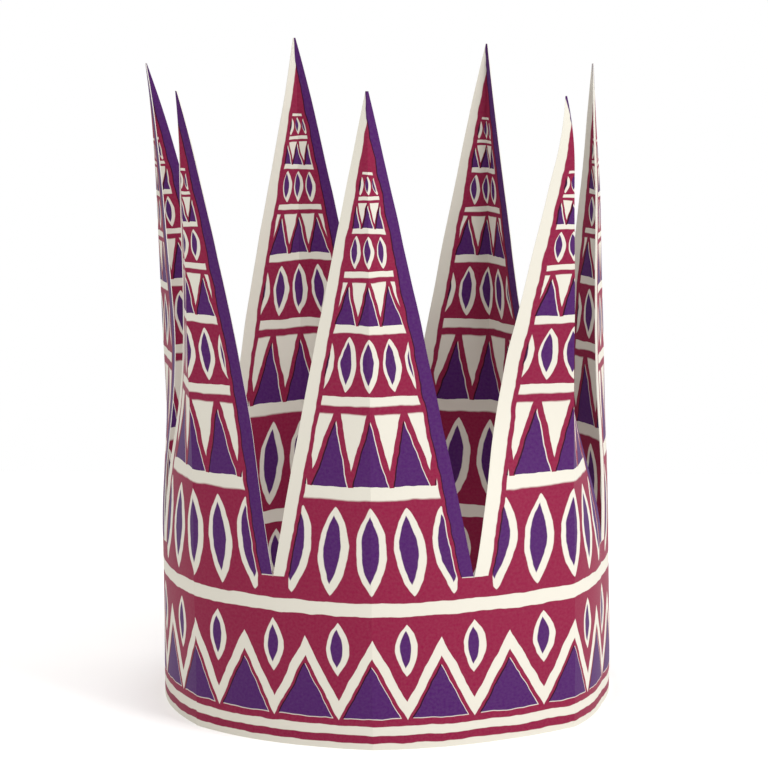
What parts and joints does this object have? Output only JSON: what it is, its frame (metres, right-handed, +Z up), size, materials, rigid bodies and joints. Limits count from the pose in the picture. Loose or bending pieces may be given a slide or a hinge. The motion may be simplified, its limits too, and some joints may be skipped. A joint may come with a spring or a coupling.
{
  "type": "paper crown",
  "caption": "Tall crown of stiff printed paper, cut into sharp creased points and glued at a lap into a ring that sits on a head.",
  "frame": {"origin": "centre of the crown's outline, on the plane that its bottom edge stands on", "axes": "+Z up from the bottom edge to the tips, -Y towards the front point's crease, +X to the right seen from the front"},
  "size_m": [0.1812, 0.182, 0.25],
  "materials": {
    "printed_paper": "matte"
  },
  "bodies": {
    "root": {"crown_sheet": "printed_paper"}
  },
  "joints": []
}
